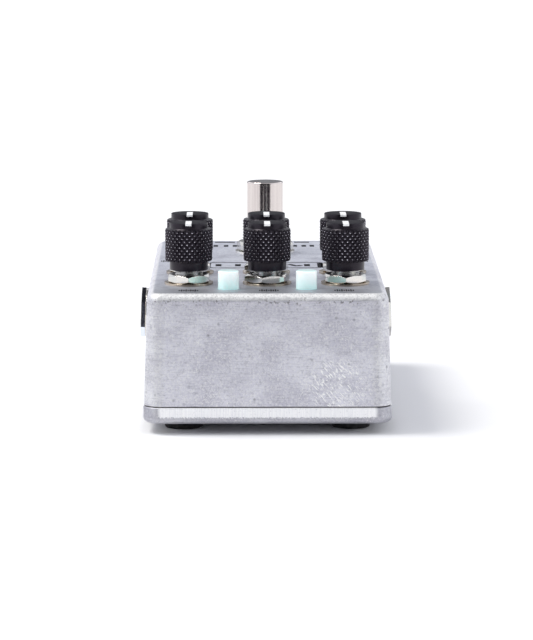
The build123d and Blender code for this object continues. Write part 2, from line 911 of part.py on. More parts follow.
def wire_routes():
    """Each wire's route, from the jacks' lugs and the switch's board to the main board."""
    run_z = lid_bottom + 5.4
    main_end_y, switch_end_y = -14.5, 19.5
    switch_board_under = switch_board_top - board_thickness
    routes = []
    for x in (-2.4, -0.8, 0.8, 2.4):
        routes.append(
            [
                (x, main_end_y, board_under),
                (x, main_end_y, run_z),
                (x, switch_end_y, run_z),
                (x, switch_end_y, switch_board_under),
            ]
        )
    solder_reach = case_rear + 5.5
    tilt = radians(draft_angle)
    solder_x = wall_x(jack_height) + solder_reach * cos(tilt)
    axis_z = lid_bottom + jack_height + solder_reach * sin(tilt)
    solder_lift = leaf_lift + 0.3
    over_z = plate_under - 1.6
    over_x, over_y = 9.6, -12.0
    under_z = axis_z - 9.3
    under_y = -12.6
    for side in (-1, 1):
        routes.append(
            [
                (side * solder_x, jack_y, axis_z + solder_lift),
                (side * solder_x, jack_y, over_z),
                (side * over_x, over_y, over_z),
                (side * over_x, over_y, board_top),
            ]
        )
        routes.append(
            [
                (side * solder_x, jack_y, axis_z - solder_lift),
                (side * solder_x, jack_y, under_z),
                (side * solder_x, under_y, under_z),
                (side * solder_x, under_y, board_under),
            ]
        )
    return routes


with BuildPart() as wire_harness:
    for route_points in wire_routes():
        add(make_wire(route_points))
save(wire_harness.part, "wire_harness")
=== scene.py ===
"""Looks of a guitar effects pedal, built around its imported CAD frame.

A raw die-cast enclosure with knurled black knobs, pale green LEDs and plated hardware, on a
white studio floor. Metres, in the CAD's own frame: +Z up, the knob end towards -Y.
"""

import json
from math import cos, pi, radians, sin, sqrt

import bmesh
import bpy
from mathutils import Matrix, Vector


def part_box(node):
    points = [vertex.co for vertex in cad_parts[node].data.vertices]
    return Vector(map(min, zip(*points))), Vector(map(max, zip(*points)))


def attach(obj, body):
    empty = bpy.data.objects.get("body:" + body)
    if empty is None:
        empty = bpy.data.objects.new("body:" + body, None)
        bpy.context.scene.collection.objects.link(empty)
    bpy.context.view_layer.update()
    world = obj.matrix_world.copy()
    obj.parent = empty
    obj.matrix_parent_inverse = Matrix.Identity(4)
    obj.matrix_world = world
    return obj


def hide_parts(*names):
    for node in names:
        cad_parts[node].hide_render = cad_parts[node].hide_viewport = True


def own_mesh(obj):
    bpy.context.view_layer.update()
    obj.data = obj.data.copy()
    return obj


MM = 0.001

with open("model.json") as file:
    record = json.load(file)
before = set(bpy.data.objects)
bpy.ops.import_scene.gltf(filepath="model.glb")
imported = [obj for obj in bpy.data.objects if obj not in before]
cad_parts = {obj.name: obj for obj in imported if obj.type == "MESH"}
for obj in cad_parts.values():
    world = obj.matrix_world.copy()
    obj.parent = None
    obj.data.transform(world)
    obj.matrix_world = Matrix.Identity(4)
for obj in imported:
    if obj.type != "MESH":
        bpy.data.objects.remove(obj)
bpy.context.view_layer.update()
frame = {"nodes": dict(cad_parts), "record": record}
nodes = frame["nodes"]
knob_numbers = range(1, 7)
box_low, box_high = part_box("enclosure_shell")
lid_low, lid_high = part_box("base_lid")
plate_top = box_high.z
seam = box_low.z


# ---- material kit -------------------------------------------------------------------------
class Finish:
    """A material being built: a Principled surface, with short calls for the nodes used here."""

    def __init__(self, name, sockets):
        self.material = bpy.data.materials.new(name)
        self.material.use_nodes = True
        self.tree = self.material.node_tree
        self.surface = self.tree.nodes["Principled BSDF"]
        for socket, value in sockets.items():
            self.set(socket, value)

    def plug(self, socket, value):
        """Link an output to a socket, or set a plain value on it."""
        if isinstance(value, bpy.types.NodeSocket):
            self.tree.links.new(value, socket)
        else:
            socket.default_value = value

    def set(self, socket, value):
        """Set or link one socket of the surface."""
        self.plug(self.surface.inputs[socket], value)

    def node(self, kind, inputs, **settings):
        """Add a node, with its settings and its inputs by name or number."""
        made = self.tree.nodes.new(kind)
        for key, value in settings.items():
            setattr(made, key, value)
        for socket, value in inputs.items():
            self.plug(made.inputs[socket], value)
        return made

    def place(self, per_mm, turn=(0, 0, 0)):
        """The point on the object, turned, with that many repeats a millimetre along X, Y and Z."""
        inputs = {
            "Vector": self.node("ShaderNodeTexCoord", {}).outputs["Object"],
            "Rotation": [radians(angle) for angle in turn],
            "Scale": [MM / rate for rate in per_mm],
        }
        return self.node("ShaderNodeMapping", inputs, vector_type="TEXTURE").outputs[0]

    def noise(self, per_mm, detail=3.0, distortion=0.0, turn=(0, 0, 0)):
        """Cloudy noise, from 0 to 1. per_mm is one rate, or three to stretch it into streaks."""
        rates = per_mm if isinstance(per_mm, tuple) else (per_mm,) * 3
        inputs = {
            "Vector": self.place(rates, turn),
            "Scale": 1.0,
            "Detail": detail,
            "Distortion": distortion,
        }
        return self.node("ShaderNodeTexNoise", inputs).outputs[0]

    def scratches(self, turn, amount):
        """Short fine lines along one direction, 1 on a line. amount is the share of the surface."""
        lines = self.noise((0.45, 5.0, 5.0), detail=1.5, turn=turn)
        return self.remap(lines, 0.72 - amount, 0.76 - amount)

    def cells(self, per_mm, feature="F1"):
        """Distance from scattered points, for pits and specks."""
        inputs = {"Vector": self.place((per_mm,) * 3), "Scale": 1.0}
        return self.node("ShaderNodeTexVoronoi", inputs, feature=feature).outputs["Distance"]

    def remap(self, value, low, high, to_low=0.0, to_high=1.0):
        """A value's range from low to high, turned into another one and held there."""
        inputs = {
            "Value": value,
            "From Min": low,
            "From Max": high,
            "To Min": to_low,
            "To Max": to_high,
        }
        return self.node("ShaderNodeMapRange", inputs).outputs[0]

    def math(self, operation, first, second):
        """One sum on two values."""
        return self.node("ShaderNodeMath", {0: first, 1: second}, operation=operation).outputs[0]

    def along(self, axis):
        """A point's distance from the frame's origin along X, Y or Z, in millimetres."""
        position = self.node("ShaderNodeTexCoord", {}).outputs["Object"]
        share = self.node("ShaderNodeSeparateXYZ", {0: position}).outputs[axis]
        return self.math("DIVIDE", share, MM)

    def corners(self, box, flat_end, soft):
        """1 on a box's upright corners, rising over soft, from flat_end short of its sides."""
        past = []
        for axis, half in [("X", box.x / MM), ("Y", box.y / MM)]:
            away = self.math("ABSOLUTE", self.along(axis), 0.0)
            past.append(self.remap(away, half - flat_end, half - flat_end + soft))
        return self.math("MULTIPLY", *past)

    def near(self, point, radius_mm):
        """1 at a point of the object, falling to 0 at a distance from it."""
        position = self.node("ShaderNodeTexCoord", {}).outputs["Object"]
        inputs = {0: position, 1: point}
        away = self.node("ShaderNodeVectorMath", inputs, operation="DISTANCE").outputs["Value"]
        return self.remap(away, 0.0, radius_mm * MM, 1.0, 0.0)

    def mix(self, factor, first, second, blend="MIX"):
        """Blend two colours."""
        inputs = {0: factor, 6: first, 7: second}
        made = self.node("ShaderNodeMix", inputs, data_type="RGBA", blend_type=blend)
        return made.outputs[2]

    def relief(self, height, depth_mm, strength=1.0, edge_mm=0.0):
        """Bump from a height between 0 and 1, over edges that are rounded by edge_mm."""
        inputs = {"Height": height, "Distance": depth_mm * MM, "Strength": strength}
        if edge_mm:
            rounded = self.node("ShaderNodeBevel", {"Radius": edge_mm * MM}, samples=6)
            inputs["Normal"] = rounded.outputs[0]
        self.set("Normal", self.node("ShaderNodeBump", inputs).outputs[0])


def rgb(red, green, blue):
    """A linear colour with full alpha."""
    return (red, green, blue, 1.0)


# ---- finishes of the enclosure ------------------------------------------------------------
# how far below the plate's top each zone of the shell begins and is full, in millimetres
EDGE_BEGINS, EDGE_FULL = 1.9, 1.3
FLAT_BEGINS, FLAT_FULL = 0.12, 0.02
PITS_BEGIN = 3.2
# the upright corners' width and how softly they begin, and the same for the lid's lower rounding
SHELL_CORNER, SHELL_CORNER_SOFT = 5.2, 2.4
LID_CORNER, LID_CORNER_SOFT = 4.3, 0.9
LID_ROUNDING, LID_ROUNDING_SOFT = 1.5, 0.4
SIDES_BEGIN, SIDES_FULL = 3.2, 1.6  # where the top edge's wear fades out, in from the long sides
# painted shade on the top near the knob end
FRONT_SHADE_FULL, FRONT_SHADE_END = 4.0, 24.0  # how far back from the knob end the top is darkened
SEAM_SHADE, SEAM_SHADE_END = 0.15, 0.36  # how far up from the seam the shell is dark
KNOCKS_X, KNOCKS_Z, KNOCKS_RADIUS = 16.8, 11.8, 9.0  # the knocks on the front, low on its right


def cast_metal(finish):
    """Colour of raw die-cast aluminium: cloudy lavender grey, flecked, scratched and specked."""
    clouds = finish.remap(finish.noise(0.13, detail=5.0, distortion=0.5), 0.36, 0.62)
    flecks = finish.remap(finish.noise(2.1, detail=6.0, distortion=0.3), 0.47, 0.64)
    mottles = finish.remap(finish.noise(1.5, detail=6.0, distortion=0.6), 0.52, 0.68)
    sparkle = finish.remap(finish.noise(3.0, detail=2.0), 0.62, 0.70)
    brushing = finish.remap(finish.noise((0.25, 0.25, 4.2), detail=3.0), 0.52, 0.66)
    patches = finish.remap(finish.noise(0.22, detail=3.0), 0.42, 0.6)
    specks = finish.remap(finish.cells(0.2), 0.03, 0.10, 1.0, 0.0)

    colour = finish.mix(clouds, rgb(0.65, 0.645, 0.725), rgb(0.83, 0.83, 0.90))
    colour = finish.mix(finish.math("MULTIPLY", flecks, 0.45), colour, rgb(1.0, 1.0, 1.0))
    colour = finish.mix(finish.math("MULTIPLY", mottles, 0.35), colour, rgb(0.36, 0.36, 0.42))
    colour = finish.mix(finish.math("MULTIPLY", brushing, 0.32), colour, rgb(0.38, 0.38, 0.44))
    colour = finish.mix(finish.math("MULTIPLY", sparkle, 0.7), colour, rgb(1.0, 1.0, 1.0))
    for turn, amount in [((0, 35, 20), 0.065), ((0, -62, -35), 0.07), ((25, 80, 50), 0.065)]:
        lines = finish.math("MULTIPLY", finish.scratches(turn, amount), patches)
        colour = finish.mix(finish.math("MULTIPLY", lines, 0.85), colour, rgb(1.0, 1.0, 1.0))
    return finish.mix(finish.math("MULTIPLY", specks, 0.6), colour, rgb(0.20, 0.20, 0.24))


def cast_aluminium():
    """The shell's raw casting, pitted and knocked: painted shade darkens its flat top, most towards the knob
    end, and its upright corners, and its top edges are partly worn and partly painted with a highlight.
    """
    finish = Finish("cast_aluminium", {"Metallic": 1.0})
    top = plate_top / MM
    edge = finish.remap(finish.along("Z"), top - EDGE_BEGINS, top - EDGE_FULL)
    flat = finish.remap(finish.along("Z"), top - FLAT_BEGINS, top - FLAT_FULL)
    rim = finish.remap(finish.math("SUBTRACT", edge, flat), 0.0, 1.0)
    near_rim = finish.remap(finish.along("Z"), top - PITS_BEGIN, top - EDGE_BEGINS)
    below_rim = finish.math("SUBTRACT", near_rim, edge)
    pit_dots = finish.remap(finish.noise(1.5, detail=4.0), 0.57, 0.64)
    pitted = finish.math("ADD", below_rim, finish.math("MULTIPLY", rim, 0.5))
    pits = finish.math("MULTIPLY", pit_dots, pitted)
    dents = finish.near((KNOCKS_X * MM, box_low.y, KNOCKS_Z * MM), KNOCKS_RADIUS)
    knock_lines = finish.remap(finish.noise((0.9, 3.4, 3.4), detail=1.0, turn=(0, 48, 0)), 0.59, 0.63)
    knocks = finish.math("MULTIPLY", knock_lines, finish.remap(dents, 0.1, 0.4))
    flecks = finish.noise(1.5, detail=4.0)
    shade_low, shade_high = seam / MM + SEAM_SHADE, seam / MM + SEAM_SHADE_END
    seam_shade = finish.remap(finish.along("Z"), shade_low, shade_high, 1.0, 0.0)

    colour = cast_metal(finish)
    # painted shade: the upright corners are multiplied darker
    corner = finish.corners(box_high, SHELL_CORNER, SHELL_CORNER_SOFT)
    corner_shade = finish.mix(1.0, colour, rgb(0.86, 0.86, 0.83), blend="MULTIPLY")
    colour = finish.mix(corner, colour, corner_shade)
    # painted shade: the flat top is multiplied darker
    top_shade = finish.mix(1.0, colour, rgb(0.84, 0.86, 0.88), blend="MULTIPLY")
    from_front = finish.math("SUBTRACT", finish.along("Y"), box_low.y / MM)
    # painted shade, deepest at the knob end of the top
    painted_front_shade = finish.remap(from_front, FRONT_SHADE_FULL, FRONT_SHADE_END, 0.6, 0.0)
    top_shade = finish.mix(painted_front_shade, top_shade, rgb(0.38, 0.39, 0.41))
    colour = finish.mix(flat, colour, top_shade)
    # the top edges' rounding: partly worn bright, partly a painted highlight
    bright = finish.mix(finish.remap(flecks, 0.35, 0.6), rgb(0.70, 0.70, 0.70), rgb(0.98, 0.98, 0.97))
    half_width = box_high.x / MM
    across = finish.math("ABSOLUTE", finish.along("X"), 0.0)
    sides = finish.remap(across, half_width - SIDES_BEGIN, half_width - SIDES_FULL, 0.0, 0.75)
    bright = finish.mix(sides, bright, colour)
    colour = finish.mix(rim, colour, bright)
    colour = finish.mix(finish.math("MULTIPLY", pits, 0.85), colour, rgb(0.16, 0.15, 0.16))
    colour = finish.mix(knocks, colour, rgb(1.0, 1.0, 1.0))
    finish.set("Base Color", finish.mix(seam_shade, colour, rgb(0.05, 0.045, 0.04)))
    # the rim's share is its painted highlight as well as wear; the knocks are wear
    worn = finish.math("MAXIMUM", finish.math("MULTIPLY", rim, 0.45), knocks)
    finish.set("Metallic", finish.math("SUBTRACT", 1.0, worn))
    finish.set("Roughness", finish.remap(flecks, 0.3, 0.7, 0.46, 0.58))
    relief = finish.math("SUBTRACT", finish.math("MULTIPLY", flecks, 0.5), pits)
    finish.relief(relief, 0.05, strength=0.5)
    return finish.material


def ground_lid():
    """The lid's casting, its flat sides ground bright, and painted darker as shade at its corners, on its
    lower rounding and underneath.
    """
    finish = Finish("ground_lid", {"Metallic": 1.0})
    grinding = finish.noise((3.2, 3.2, 0.15), detail=3.0)
    flecks = finish.noise(2.6, detail=4.0)
    rounding = lid_low.z / MM + LID_ROUNDING
    wavy_height = finish.math("ADD", finish.along("Z"), finish.remap(flecks, 0.3, 0.7, -0.25, 0.25))
    above_rounding = finish.remap(wavy_height, rounding, rounding + LID_ROUNDING_SOFT)
    corner = finish.corners(lid_high, LID_CORNER, LID_CORNER_SOFT)
    ground_part = finish.remap(finish.math("SUBTRACT", above_rounding, corner), 0.0, 1.0)
    ground = finish.mix(finish.remap(grinding, 0.35, 0.6), rgb(0.90, 0.90, 0.92), rgb(1.0, 1.0, 1.0))
    ground = finish.mix(finish.remap(flecks, 0.6, 0.75, 0.0, 0.6), ground, rgb(0.50, 0.50, 0.54))
    # painted shade: the cast part at the corners, lower rounding and underside is multiplied darker
    cast = finish.mix(1.0, cast_metal(finish), rgb(0.64, 0.64, 0.64), blend="MULTIPLY")
    finish.set("Base Color", finish.mix(ground_part, cast, ground))
    finish.set("Metallic", finish.remap(ground_part, 0.0, 1.0, 1.0, 0.3))
    finish.set("Roughness", finish.remap(grinding, 0.3, 0.7, 0.42, 0.55))
    finish.relief(grinding, 0.03, strength=0.4)
    return finish.material


def black_rubber():
    """Matt moulded rubber with a dusty bloom."""
    finish = Finish("black_rubber", {"Roughness": 0.75, "Specular IOR Level": 0.3})
    dust = finish.remap(finish.noise(0.8, detail=5.0), 0.4, 0.7)
    finish.set("Base Color", finish.mix(dust, rgb(0.012, 0.012, 0.013), rgb(0.04, 0.04, 0.042)))
    finish.relief(finish.noise(5.0), 0.04, strength=0.5)
    return finish.material


def printed_ink():
    """Flat black printing on the top plate, slightly worn."""
    finish = Finish("printed_ink", {"Roughness": 0.8, "Specular IOR Level": 0.1})
    worn = finish.remap(finish.noise(2.5, detail=5.0), 0.55, 0.75, 0.0, 0.5)
    finish.set("Base Color", finish.mix(worn, rgb(0.012, 0.012, 0.016), rgb(0.07, 0.07, 0.085)))
    return finish.material


# ---- finishes of the knobs and lights -----------------------------------------------------
def black_anodised():
    """Turned aluminium, anodised black with a violet cast, and fine turning lines round it."""
    finish = Finish("black_anodised", {"IOR": 1.42, "Specular Tint": rgb(0.98, 0.88, 1.0)})
    turning = finish.noise((0.05, 0.05, 9.0), detail=3.0)
    speckle = finish.noise(4.0, detail=3.0)
    finish.set("Base Color", finish.mix(speckle, rgb(0.003, 0.002, 0.004), rgb(0.008, 0.006, 0.011)))
    finish.set("Roughness", finish.remap(turning, 0.3, 0.7, 0.27, 0.36))
    finish.relief(turning, 0.004, strength=0.5)
    return finish.material


def worn_tips():
    """The points of the knurl, where handling has polished the black thin."""
    finish = Finish("worn_tips", {"Metallic": 0.8})
    wear = finish.noise(0.9, detail=3.0)
    polished = finish.remap(wear, 0.35, 0.65)
    finish.set("Base Color", finish.mix(polished, rgb(0.30, 0.28, 0.34), rgb(0.95, 0.92, 1.0)))
    finish.set("Roughness", finish.remap(wear, 0.3, 0.7, 0.42, 0.3))
    finish.relief(wear, 0.01, strength=0.4)
    return finish.material


def faced_top():
    """The knob's flat end: the same black, but blasted matt."""
    finish = Finish("faced_top", {"Roughness": 0.5, "Specular IOR Level": 0.04})
    grain = finish.noise(7.0, detail=3.0)
    finish.set("Base Color", finish.mix(grain, rgb(0.008, 0.007, 0.010), rgb(0.022, 0.020, 0.026)))
    finish.relief(grain, 0.01, strength=0.4)
    return finish.material


def white_paint():
    """Thick white paint, wiped into the pointer's slot."""
    finish = Finish("white_paint", {"Roughness": 0.4})
    finish.set("Base Color", finish.mix(finish.noise(2.0), rgb(0.92, 0.92, 0.92), rgb(0.98, 0.98, 0.98)))
    finish.relief(finish.noise(1.5), 0.05, strength=0.4, edge_mm=0.18)
    return finish.material


GLOW_RISE = 3.4  # how far up the lens its colour goes on paling
LENS_END = 0.2  # the depth of its flat end, painted darker as shade


def diffused_lens():
    """Milky pale green resin, softly lit from inside, greener low down, with painted shade darkening its
    flat end.
    """
    resin = {
        "Roughness": 0.28,
        "Subsurface Weight": 1.0,
        "Subsurface Scale": 1.0 * MM,
        "Subsurface Radius": (0.8, 1.0, 1.0),
        "Emission Strength": 0.2,
    }
    finish = Finish("diffused_lens", resin)
    foot = plate_top / MM
    rise = finish.remap(finish.along("Z"), foot, foot + GLOW_RISE)
    led_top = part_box("led_left")[1].z / MM
    end = finish.remap(finish.along("Z"), led_top - LENS_END, led_top)
    haze = finish.remap(finish.noise(0.7), 0.3, 0.7, 0.0, 0.15)
    colour = finish.mix(rise, rgb(0.62, 0.88, 0.86), rgb(0.86, 0.98, 0.94))
    colour = finish.mix(haze, colour, rgb(0.98, 1.0, 1.0))
    # painted shade on the flat end
    colour = finish.mix(end, colour, rgb(0.55, 0.70, 0.69))
    finish.set("Base Color", colour)
    finish.set("Emission Color", colour)
    finish.relief(finish.noise(2.0), 0.01, strength=0.3, edge_mm=0.1)
    return finish.material


# ---- finishes of the hardware -------------------------------------------------------------
def plated(name, first, second, roughness, relief_mm=0.01):
    """Bright plating over metal, its tone drifting between two colours."""
    finish = Finish(name, {"Metallic": 1.0})
    drift = finish.noise(0.35, detail=3.0, distortion=0.4)
    smears = finish.noise(1.6, detail=5.0)
    finish.set("Base Color", finish.mix(finish.remap(drift, 0.35, 0.65), first, second))
    finish.set("Roughness", finish.remap(smears, 0.3, 0.7, roughness * 0.75, roughness * 1.3))
    finish.relief(smears, relief_mm, strength=0.4, edge_mm=0.14)
    return finish.material


def smoked_nickel():
    """Dark plating, with a painted reflection of the pale floor on the flats that face down."""
    finish = Finish("smoked_nickel", {"Metallic": 1.0})
    facing = finish.node("ShaderNodeTexCoord", {}).outputs["Normal"]
    upward = finish.node("ShaderNodeSeparateXYZ", {0: facing}).outputs["Z"]
    # painted reflection: flats facing down take the pale floor's colour
    floor_reflection = finish.remap(upward, -0.6, -0.4, 1.0, 0.0)
    smears = finish.noise(1.6, detail=5.0)
    dark = finish.mix(finish.remap(smears, 0.45, 0.7), rgb(0.03, 0.03, 0.04), rgb(0.10, 0.11, 0.13))
    finish.set("Base Color", finish.mix(floor_reflection, dark, rgb(0.80, 0.86, 0.95)))
    finish.set("Roughness", finish.remap(smears, 0.3, 0.7, 0.16, 0.28))
    finish.relief(smears, 0.01, strength=0.4)
    return finish.material


def moulded(name, colour, bright_colour, roughness):
    """Moulded or coated plastic with a faint grain and handling marks."""
    finish = Finish(name, {"Specular IOR Level": 0.45})
    tone = finish.noise(0.5, detail=5.0)
    finish.set("Base Color", finish.mix(finish.remap(tone, 0.35, 0.7), colour, bright_colour))
    finish.set("Roughness", finish.remap(tone, 0.3, 0.7, roughness - 0.07, roughness + 0.08))
    finish.relief(finish.noise(4.0), 0.02, strength=0.4, edge_mm=0.12)
    return finish.material


def circuit_laminate():
    """Green solder mask with faint tracks showing through it."""
    finish = Finish("circuit_laminate", {"Roughness": 0.35, "Coat Weight": 0.3})
    tracks = finish.remap(finish.cells(0.5, feature="DISTANCE_TO_EDGE"), 0.05, 0.12, 1.0, 0.0)
    weave = finish.noise(3.0, detail=2.0)
    mask = finish.mix(weave, rgb(0.006, 0.07, 0.03), rgb(0.01, 0.10, 0.045))
    faint_tracks = finish.math("MULTIPLY", tracks, 0.5)
    finish.set("Base Color", finish.mix(faint_tracks, mask, rgb(0.03, 0.20, 0.08)))
    finish.relief(tracks, 0.03, strength=0.5, edge_mm=0.1)
    return finish.material


def button_nickel():
    """The footswitch button's polish: drawn lines down its side, and painted shade darkening its flat end.
    """
    finish = Finish("button_nickel", {"Metallic": 1.0})
    button_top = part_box("footswitch_button")[1].z / MM
    lines = finish.noise((1.8, 1.8, 0.02), detail=4.0)
    side = finish.mix(finish.remap(lines, 0.35, 0.65), rgb(0.60, 0.54, 0.52), rgb(0.76, 0.70, 0.67))
    end = finish.remap(finish.along("Z"), button_top - 0.08, button_top - 0.02)
    # painted shade: the flat end is given a darker colour
    finish.set("Base Color", finish.mix(end, side, rgb(0.30, 0.27, 0.26)))
    finish.set("Roughness", finish.remap(lines, 0.3, 0.7, 0.12, 0.2))
    finish.relief(lines, 0.004, strength=0.4, edge_mm=0.14)
    return finish.material


slot_finishes = {
    "cast_aluminium": cast_aluminium(),
    "black_rubber": black_rubber(),
    "black_anodised": black_anodised(),
    "white_paint": white_paint(),
    "diffused_lens": diffused_lens(),
    "circuit_laminate": circuit_laminate(),
    "nickel_plate": plated("nickel_plate", rgb(0.78, 0.74, 0.69), rgb(0.66, 0.67, 0.65), 0.11),
    "polished_nickel": button_nickel(),
    "zinc_steel": plated("zinc_steel", rgb(0.62, 0.62, 0.64), rgb(0.74, 0.73, 0.68), 0.3),
    "tinned_metal": plated("tinned_metal", rgb(0.72, 0.72, 0.72), rgb(0.62, 0.61, 0.60), 0.34, 0.03),
    "brass_shaft": plated("brass_shaft", rgb(0.76, 0.55, 0.25), rgb(0.66, 0.48, 0.24), 0.28),
    "black_oxide_steel": plated("black_oxide_steel", rgb(0.045, 0.045, 0.055), rgb(0.08, 0.075, 0.08), 0.24),
    "black_moulding": moulded("black_moulding", rgb(0.012, 0.012, 0.013), rgb(0.03, 0.03, 0.032), 0.42),
    "blue_moulding": moulded("blue_moulding", rgb(0.01, 0.05, 0.28), rgb(0.02, 0.08, 0.38), 0.4),
    "capacitor_sleeve": moulded("capacitor_sleeve", rgb(0.16, 0.035, 0.012), rgb(0.22, 0.05, 0.02), 0.3),
    "resistor_coat": moulded("resistor_coat", rgb(0.10, 0.30, 0.42), rgb(0.14, 0.36, 0.48), 0.35),
    "wire_insulation": moulded("wire_insulation", rgb(0.30, 0.01, 0.01), rgb(0.42, 0.02, 0.015), 0.4),
}

for node in nodes.values():
    for material_slot in node.material_slots:
        material_slot.material = slot_finishes[material_slot.material.name]
nodes["base_lid"].material_slots[0].material = ground_lid()
aged_nickel = plated("aged_nickel", rgb(0.62, 0.53, 0.42), rgb(0.44, 0.38, 0.31), 0.2)
nodes["pot_washers"].material_slots[0].material = aged_nickel


# ---- mesh kit -----------------------------------------------------------------------------
SMOOTH_BELOW = 38.0  # edges under this many degrees are shaded smooth


def add_object(name, data):
    """A new object in the scene, holding a mesh, a light or a camera."""
    made = bpy.data.objects.new(name, data)
    bpy.context.scene.collection.objects.link(made)
    return made


def add_piece(name, mesh, body, finishes, replaced):
    """Put a finished mesh into the scene, on its body, in place of its CAD nodes."""
    for finish in finishes:
        mesh.materials.append(finish)
    piece = add_object(name, mesh)
    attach(piece, body)
    if replaced:
        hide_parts(*replaced)
    return piece


def add_fixed(name, mesh, slot_name, replaced):
    """Add a piece that stays still, in its slot's own finish, in place of one CAD node."""
    return add_piece(name, mesh, "enclosure", [slot_finishes[slot_name]], [replaced])


def middle_of(name):
    """The middle of a CAD node's box."""
    low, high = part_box(name)
    return (low + high) / 2


def turned(name, rings, columns, smooth_below=SMOOTH_BELOW):
    """A closed solid of revolution about Z, through rings of (height, radius) in millimetres.

    A ring's radius may be a function of the angle. The solid closes on its axis where the first
    or the last radius is 0, and otherwise by joining its last ring to its first.
    """
    vertices, rows = [], []
    for height, radius in rings:
        steps = range(1) if radius == 0 else range(columns)
        rows.append([])
        for step in steps:
            angle = 2 * pi * step / columns
            reach = radius(angle) if callable(radius) else radius
            rows[-1].append(len(vertices))
            vertices.append((reach * cos(angle) * MM, reach * sin(angle) * MM, height * MM))
    pairs = list(zip(rows, rows[1:]))
    if len(rows[0]) > 1:
        pairs.append((rows[-1], rows[0]))
    faces = []
    for lower, upper in pairs:
        for step in range(columns):
            after = (step + 1) % columns
            corners = [lower[step % len(lower)], lower[after % len(lower)]]
            corners += [upper[after % len(upper)], upper[step % len(upper)]]
            faces.append(list(dict.fromkeys(corners)))
    mesh = bpy.data.meshes.new(name)
    mesh.from_pydata(vertices, [], faces)
    return shade(mesh, smooth_below)


def rod(bottom, top, radius):
    """The rings of a plain cylinder."""
    return [(bottom, 0), (bottom, radius), (top, radius), (top, 0)]


def shade(mesh, smooth_below=SMOOTH_BELOW):
    """Point a closed mesh's faces outwards, and shade it smooth except across its edges."""
    edited = bmesh.new()
    edited.from_mesh(mesh)
    bmesh.ops.recalc_face_normals(edited, faces=edited.faces)
    edited.to_mesh(mesh)
    edited.free()
    mesh.shade_smooth()
    mesh.set_sharp_from_angle(angle=radians(smooth_below))
    return mesh


def taken_from(name, edited):
    """A mesh with a bmesh's faces. The bmesh is freed."""
    mesh = bpy.data.meshes.new(name)
    edited.to_mesh(mesh)
    edited.free()
    return mesh


def block(name, low, high):
    """A plain block between two corners in millimetres, for cutting other meshes with."""
    edited = bmesh.new()
    size = [top - bottom for bottom, top in zip(low, high)]
    middle = [(top + bottom) / 2 for bottom, top in zip(low, high)]
    place = Matrix.Translation(Vector(middle) * MM) @ Matrix.Diagonal([*(Vector(size) * MM), 1])
    bmesh.ops.create_cube(edited, size=1.0, matrix=place)
    return taken_from(name, edited)


def cut(mesh, cutters):
    """A mesh with others cut out of it."""
    target = add_object("cut_target", mesh)
    helpers = [add_object("cut_helper", cutter) for cutter in cutters]
    for helper in helpers:
        modifier = target.modifiers.new("cut", "BOOLEAN")
        modifier.operation = "DIFFERENCE"
        modifier.object = helper
    done = target.evaluated_get(bpy.context.evaluated_depsgraph_get())
    result = bpy.data.meshes.new_from_object(done)
    for made in [target, *helpers]:
        bpy.data.objects.remove(made)
    return shade(result)


def skin(edited, rows, closed=False):
    """Faces between rows of vertices that each go once round a tube, and over its two ends."""
    for first, second in zip(rows, rows[1:] + rows[:1] if closed else rows[1:]):
        for corner in range(len(first)):
            after = (corner + 1) % len(first)
            edited.faces.new([first[corner], first[after], second[after], second[corner]])
    if not closed:
        edited.faces.new(rows[0])
        edited.faces.new(rows[-1])


def moved(mesh, matrix):
    """A copy of a mesh, moved in its own vertices so that its pattern differs from its twins'."""
    copy = mesh.copy()
    copy.transform(matrix)
    return copy


# ---- knobs --------------------------------------------------------------------------------
KNURL_COLUMNS = 29
KNURL_PITCH = 1.46
KNURL_DEPTH = 0.36
KNURL_STEPS = 10  # mesh rows and columns for each diamond
GROOVE_HALF_WIDTH = 0.43  # as a share of a diamond
TIP_DEPTH = 0.04  # how far in the knurl's points are worn
GRIP_RADIUS = 5.85
GRIP_BOTTOM, GRIP_TOP = 2.2, 10.2
SHOULDER = 0.45
CAP_RADIUS = 4.7
KNOB_HEIGHT = 11.7
SOCKET_RADIUS, SOCKET_TOP = 3.01, 8.7  # the blind bore that the shaft fills
RECESS_RADIUS, RECESS_TOP = 4.0, 1.6  # the wider hollow under the knob
POINTER_HALF_WIDTH, POINTER_END, POINTER_FLOOR = 0.75, 2.2, 11.2
SCREW_HOLE_RADIUS, SCREW_HOLE_HEIGHT, SCREW_HOLE_START = 1.5, 6.2, 2.9
CUT_CLEAR = 1.0  # how far a cut goes on into the open past a face


def groove(turns):
    """1 in the middle of a V groove, falling evenly to 0 at the flat between two grooves."""
    from_middle = abs(turns - round(turns))
    return max(0.0, 1.0 - from_middle / GROOVE_HALF_WIDTH)


def grip_ring(height):
    """The knurled grip's radius at a height, as a function of the angle."""
    from_end = min(height - GRIP_BOTTOM, GRIP_TOP - height, SHOULDER)
    outline = GRIP_RADIUS - SHOULDER + sqrt(SHOULDER**2 - (SHOULDER - from_end) ** 2)

    def radius(angle):
        around = KNURL_COLUMNS * angle / (2 * pi)
        along = (height - GRIP_BOTTOM) / KNURL_PITCH
        deepest = max(groove(around + along), groove(around - along))
        return min(outline, GRIP_RADIUS - KNURL_DEPTH * deepest)

    return radius


